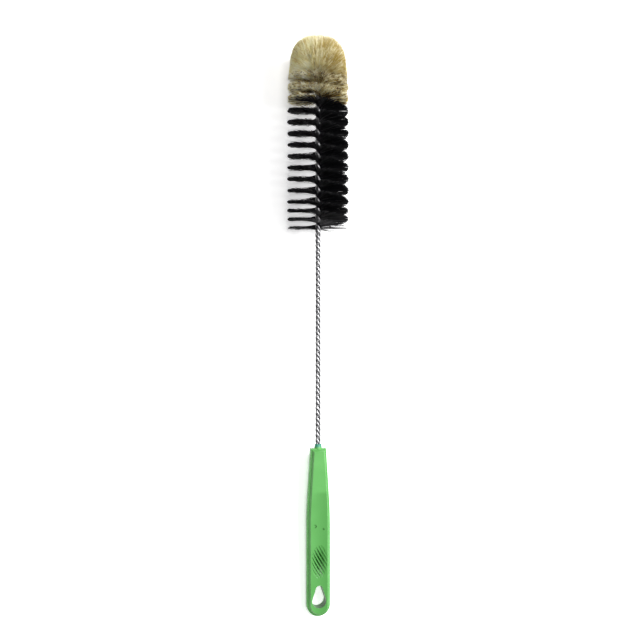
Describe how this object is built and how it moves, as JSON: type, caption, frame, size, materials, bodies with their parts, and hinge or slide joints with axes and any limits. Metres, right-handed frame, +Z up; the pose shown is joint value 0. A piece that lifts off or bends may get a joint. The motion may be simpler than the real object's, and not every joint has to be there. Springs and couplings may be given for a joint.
{
  "type": "bottle brush",
  "caption": "Long bottle brush: flat plastic handle with hang hole and ribbed thumb pad, twisted wire stem, spiral bristle head in black and natural hair with a domed tip tuft.",
  "frame": {"origin": "centre of the bounding box on the surface that the brush lies on", "axes": "+Z up; +Y from the handle's tail to the brush's tip, whose axis rises 3.5 degrees above the surface because the head is thicker than the handle; +X across the handle's broad face"},
  "size_m": [0.0428, 0.3996, 0.0479],
  "materials": {
    "handle_plastic": "satin",
    "wire_steel": "polished",
    "black_bristle": "satin",
    "blond_hair": "satin",
    "tuft_hair": "satin"
  },
  "bodies": {
    "root": {"handle": "handle_plastic", "stem_wire_one": "wire_steel", "stem_wire_two": "wire_steel", "black_bristles": "black_bristle", "blond_bristles": "blond_hair", "tip_tuft": "tuft_hair"}
  },
  "joints": []
}
